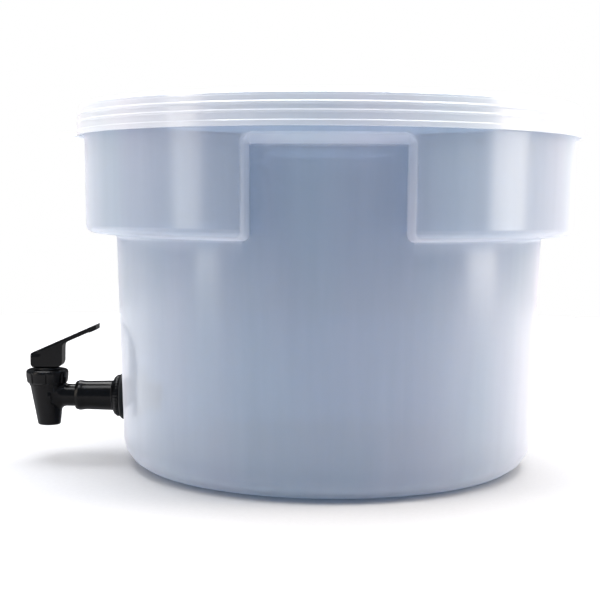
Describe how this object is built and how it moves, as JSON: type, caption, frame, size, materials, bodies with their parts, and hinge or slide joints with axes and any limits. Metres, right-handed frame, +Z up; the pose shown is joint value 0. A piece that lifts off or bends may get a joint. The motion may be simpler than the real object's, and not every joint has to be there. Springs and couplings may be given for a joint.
{
  "type": "beverage container with tap",
  "caption": "Round translucent snap-lid plastic bucket with a stepped band, finger recesses and a black push-lever tap low on its side.",
  "frame": {"origin": "middle of the flat underside of the base, on the bucket's axis", "axes": "+Z up through the lid; the tap points along -X and the finger recesses face -Y and +Y"},
  "size_m": [0.3501, 0.314, 0.2233],
  "materials": {
    "natural_polypropylene": "translucent milky moulded polypropylene, satin",
    "lid_polypropylene": "translucent milky moulded polypropylene, satin",
    "black_acetal": "moulded, semi-gloss black",
    "black_rubber": "moulded, matt black",
    "white_acetal": "moulded, natural white",
    "silicone": "moulded translucent silicone",
    "stainless_steel": "drawn wire and ground pin"
  },
  "bodies": {
    "bucket_and_tap": {"bucket": "natural_polypropylene", "shank_tube": "black_acetal", "outer_gasket": "black_rubber", "inner_gasket": "black_rubber", "inner_lock_nut": "black_acetal", "tap_body": "black_acetal", "shank_o_ring": "black_rubber", "bonnet": "black_acetal", "seat_cup": "silicone"},
    "lid": {"lid": "lid_polypropylene"},
    "swivel": {"slip_washer": "white_acetal", "closing_spring": "stainless_steel"},
    "stem": {"stem": "white_acetal", "lever_pin": "stainless_steel"},
    "lever": {"tap_lever": "black_acetal"}
  },
  "joints": [
    {"name": "lid_lift", "type": "slide", "parent": "bucket_and_tap", "child": "lid", "axis": [0, 0, 1], "range_m": [0, 0.12]},
    {"name": "swivel", "type": "hinge", "parent": "bucket_and_tap", "child": "swivel", "pos_m": [-0.1797, 0, 0.065], "axis": [0, 0, 1], "continuous": true},
    {"name": "stem_lift", "type": "slide", "parent": "swivel", "child": "stem", "axis": [0, 0, 1], "range_m": [0, 0.0029], "stiffness_N_per_m": 120, "springref_m": -0.002, "deforming": ["closing_spring", "seat_cup"]},
    {"name": "lever_tilt", "type": "hinge", "parent": "stem", "child": "lever", "pos_m": [-0.1797, 0, 0.065], "axis": [0, 1, 0], "range_deg": [0, 30]}
  ],
  "couplings": [
    {"joint": "lever_tilt", "follows": "stem_lift", "rad_per_m": 180.5}
  ]
}
